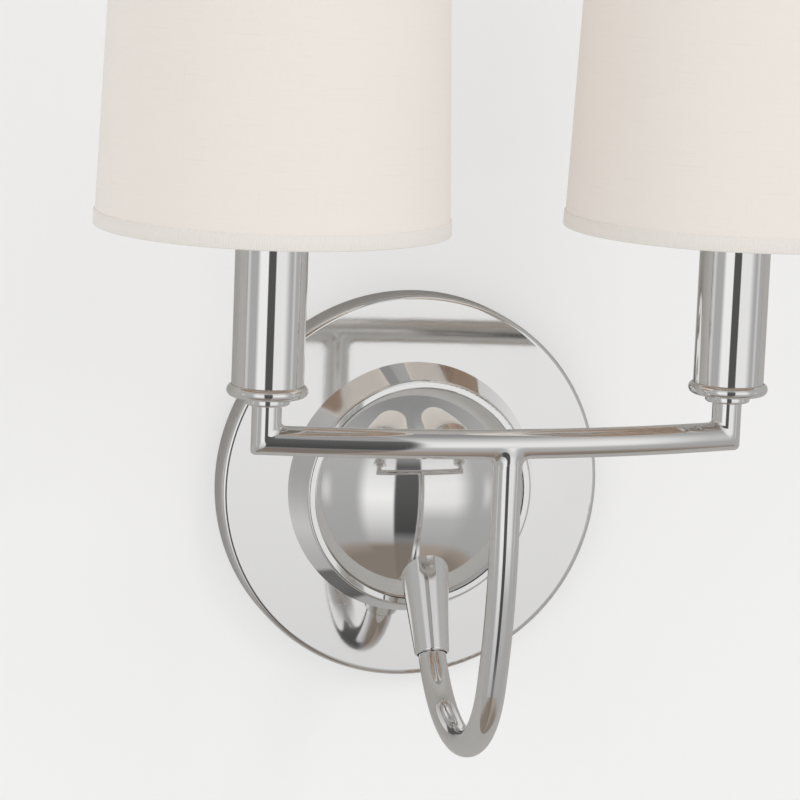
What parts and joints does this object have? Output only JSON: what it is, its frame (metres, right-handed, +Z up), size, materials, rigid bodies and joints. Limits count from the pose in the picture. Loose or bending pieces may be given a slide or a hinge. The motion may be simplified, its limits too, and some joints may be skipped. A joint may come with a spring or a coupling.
{
  "type": "double arm wall sconce",
  "caption": "Wall light with a round stepped backplate, a hooked arm, a bowed crossbar, and a candle with a bulb and a drum shade at each end of it.",
  "frame": {"origin": "middle of the backplate on the wall, between the strap's two slots", "axes": "+X to the right seen from the front, +Y into the wall, +Z up"},
  "size_m": [0.2734, 0.1788, 0.3061],
  "materials": {
    "polished_nickel": "polished nickel plate",
    "zinc_steel": "zinc plated steel",
    "brass_parts": "plain brass",
    "green_screw": "green ground screw",
    "black_moulding": "black moulded lampholder",
    "clear_glass": "clear glass",
    "filament": "pale yellow filament and glass stem",
    "bulb_cap": "nickel plated bulb cap",
    "shade_linen": "off white linen on a stiff liner",
    "shade_tape": "ribbed off white trim tape",
    "shade_wire": "white coated wire frame"
  },
  "bodies": {
    "fixture": {"backplate": "polished_nickel", "step_ring": "polished_nickel", "ring_nuts": "zinc_steel", "dome_cap": "polished_nickel", "mounting_strap": "zinc_steel", "lock_screw": "polished_nickel", "ground_screw": "green_screw", "arm_ferrule": "polished_nickel", "arm_nipple": "brass_parts", "saddle_washer": "zinc_steel", "arm_locknut": "zinc_steel", "hook_arm": "polished_nickel", "crossbar": "polished_nickel", "arm_braze": "polished_nickel", "left_riser": "polished_nickel", "left_collar": "polished_nickel", "left_candle_pan": "polished_nickel", "left_locknut": "zinc_steel", "left_socket_bracket": "zinc_steel", "left_holder_screw": "zinc_steel", "left_lampholder": "black_moulding", "left_screw_shell": "brass_parts", "left_centre_contact": "brass_parts", "left_candle_sleeve": "polished_nickel", "right_riser": "polished_nickel", "right_collar": "polished_nickel", "right_candle_pan": "polished_nickel", "right_locknut": "zinc_steel", "right_socket_bracket": "zinc_steel", "right_holder_screw": "zinc_steel", "right_lampholder": "black_moulding", "right_screw_shell": "brass_parts", "right_centre_contact": "brass_parts", "right_candle_sleeve": "polished_nickel"},
    "left_bulb": {"left_bulb_base": "bulb_cap", "left_bulb_glass": "clear_glass", "left_bulb_filament": "filament"},
    "left_shade": {"left_shade_fabric": "shade_linen", "left_shade_hem_low": "shade_tape", "left_shade_hem_top": "shade_tape", "left_shade_ring_low": "shade_wire", "left_shade_ring_top": "shade_wire", "left_shade_spider": "shade_wire", "left_bulb_clip": "shade_wire"},
    "right_bulb": {"right_bulb_base": "bulb_cap", "right_bulb_glass": "clear_glass", "right_bulb_filament": "filament"},
    "right_shade": {"right_shade_fabric": "shade_linen", "right_shade_hem_low": "shade_tape", "right_shade_hem_top": "shade_tape", "right_shade_ring_low": "shade_wire", "right_shade_ring_top": "shade_wire", "right_shade_spider": "shade_wire", "right_bulb_clip": "shade_wire"}
  },
  "joints": [
    {"name": "left_bulb_turn", "type": "hinge", "parent": "fixture", "child": "left_bulb", "pos_m": [-0.079, -0.12111, 0.1389], "axis": [0, 0, 1], "range_deg": [0, 1080]},
    {"name": "left_shade_lift", "type": "slide", "parent": "fixture", "child": "left_shade", "axis": [0, 0, 1], "range_m": [0, 0.11]},
    {"name": "right_bulb_turn", "type": "hinge", "parent": "fixture", "child": "right_bulb", "pos_m": [0.079, -0.12111, 0.1389], "axis": [0, 0, 1], "range_deg": [0, 1080]},
    {"name": "right_shade_lift", "type": "slide", "parent": "fixture", "child": "right_shade", "axis": [0, 0, 1], "range_m": [0, 0.11]}
  ]
}
